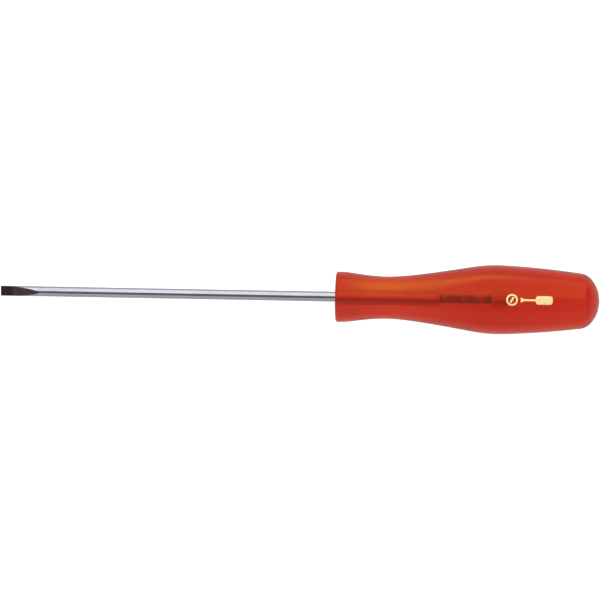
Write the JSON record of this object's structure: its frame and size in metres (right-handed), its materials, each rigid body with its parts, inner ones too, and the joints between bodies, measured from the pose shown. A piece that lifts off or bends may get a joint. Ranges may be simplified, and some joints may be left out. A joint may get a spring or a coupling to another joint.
{
  "type": "slotted screwdriver",
  "caption": "Slotted screwdriver: a slim round chromed blade with a ground parallel tip, fixed in a smooth round waisted handle of translucent red plastic.",
  "frame": {"origin": "centre of the working end of the tip, on the tool's axis", "axes": "+X along the tool's axis from the tip towards the handle; +Z towards the side of the handle that carries the mark, which faces up when the tool lies on a table; +Y completes the frame. The tip's ground flats are turned 14 degrees about X from horizontal"},
  "size_m": [0.1784, 0.0204, 0.0204],
  "materials": {
    "blade_steel": "bright plated shaft, ground and blackened at the tip",
    "handle_plastic": "polished translucent red cellulose acetate",
    "mark_foil": "hot-stamped pale yellow foil"
  },
  "bodies": {
    "root": {"blade": "blade_steel", "handle": "handle_plastic", "handle_mark": "mark_foil"}
  },
  "joints": []
}
